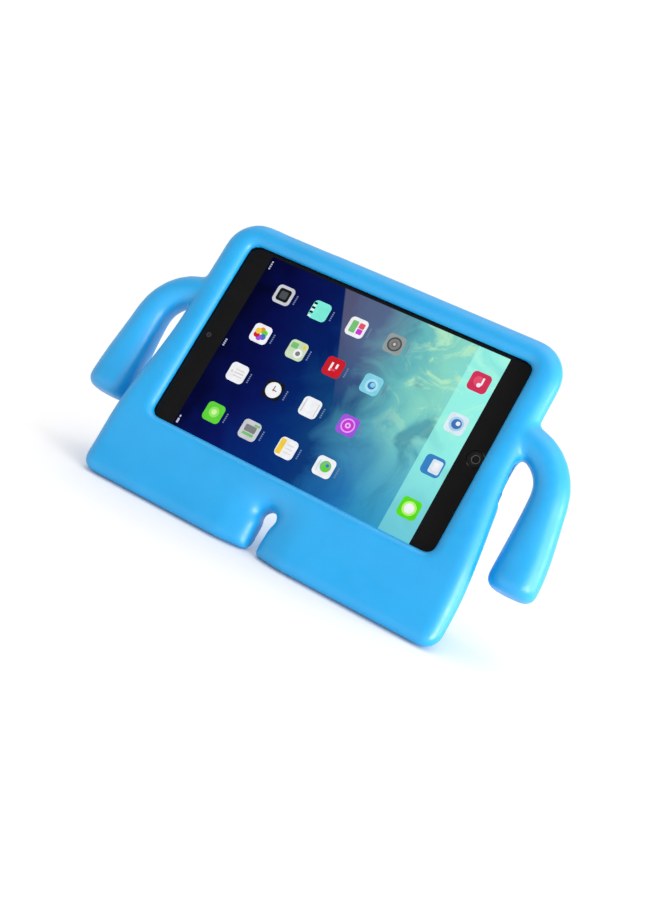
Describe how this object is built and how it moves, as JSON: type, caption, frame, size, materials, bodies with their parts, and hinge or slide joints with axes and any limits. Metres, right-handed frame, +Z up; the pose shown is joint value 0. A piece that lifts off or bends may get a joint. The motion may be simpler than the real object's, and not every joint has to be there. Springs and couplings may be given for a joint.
{
  "type": "tablet case",
  "caption": "Soft foam stand case with two arms and two feet around a small tablet, held in landscape and leaning back.",
  "frame": {"origin": "on the floor under the centre of the whole case's bounding box", "axes": "+X to the right as seen from the front, the screen faces -Y and leans back 22 degrees, +Z up"},
  "size_m": [0.3038, 0.0818, 0.1685],
  "materials": {
    "foam": "matte",
    "aluminium": "satin",
    "steel": "satin",
    "black_glass": "gloss",
    "display": "gloss",
    "black_plastic": "satin",
    "battery": "satin",
    "board": "satin",
    "lens": "gloss"
  },
  "bodies": {
    "case": {"foam_case": "foam"},
    "tablet": {"rear_housing": "aluminium", "front_glass": "black_glass", "display_panel": "display", "display_back_plate": "steel", "plate_screw_1": "steel", "plate_screw_2": "steel", "plate_screw_3": "steel", "plate_screw_4": "steel", "battery_cell_left": "battery", "battery_cell_right": "battery", "logic_board": "board", "home_button_switch": "steel", "speaker_upper": "black_plastic", "speaker_lower": "black_plastic", "front_camera": "black_plastic", "rear_camera_module": "black_plastic", "charging_port": "steel", "headphone_jack": "black_plastic", "speaker_grille_upper": "steel", "speaker_grille_lower": "steel", "rear_camera_ring": "aluminium", "rear_camera_lens": "lens"},
    "home": {"home_button": "black_plastic"},
    "sleep_wake": {"sleep_wake_button": "aluminium"},
    "volume_up": {"volume_up_button": "aluminium"},
    "volume_down": {"volume_down_button": "aluminium"},
    "silence": {"side_switch": "aluminium"}
  },
  "joints": [
    {"name": "tablet_removal", "type": "slide", "parent": "case", "child": "tablet", "axis": [0, -0.9272, 0.3746], "range_m": [0, 0.06], "deforming": ["foam_case"]},
    {"name": "home_press", "type": "slide", "parent": "tablet", "child": "home", "axis": [0, 0.9272, -0.3746], "range_m": [0, 0.0004], "stiffness_N_per_m": 300, "springref_m": -0.001},
    {"name": "sleep_wake_press", "type": "slide", "parent": "tablet", "child": "sleep_wake", "axis": [1, 0, 0], "range_m": [0, 0.0003], "stiffness_N_per_m": 300, "springref_m": -0.001},
    {"name": "volume_up_press", "type": "slide", "parent": "tablet", "child": "volume_up", "axis": [0, -0.3746, -0.9272], "range_m": [0, 0.0003], "stiffness_N_per_m": 300, "springref_m": -0.001},
    {"name": "volume_down_press", "type": "slide", "parent": "tablet", "child": "volume_down", "axis": [0, -0.3746, -0.9272], "range_m": [0, 0.0003], "stiffness_N_per_m": 300, "springref_m": -0.001},
    {"name": "silence_slide", "type": "slide", "parent": "tablet", "child": "silence", "axis": [1, 0, 0], "range_m": [0, 0.0015]}
  ]
}
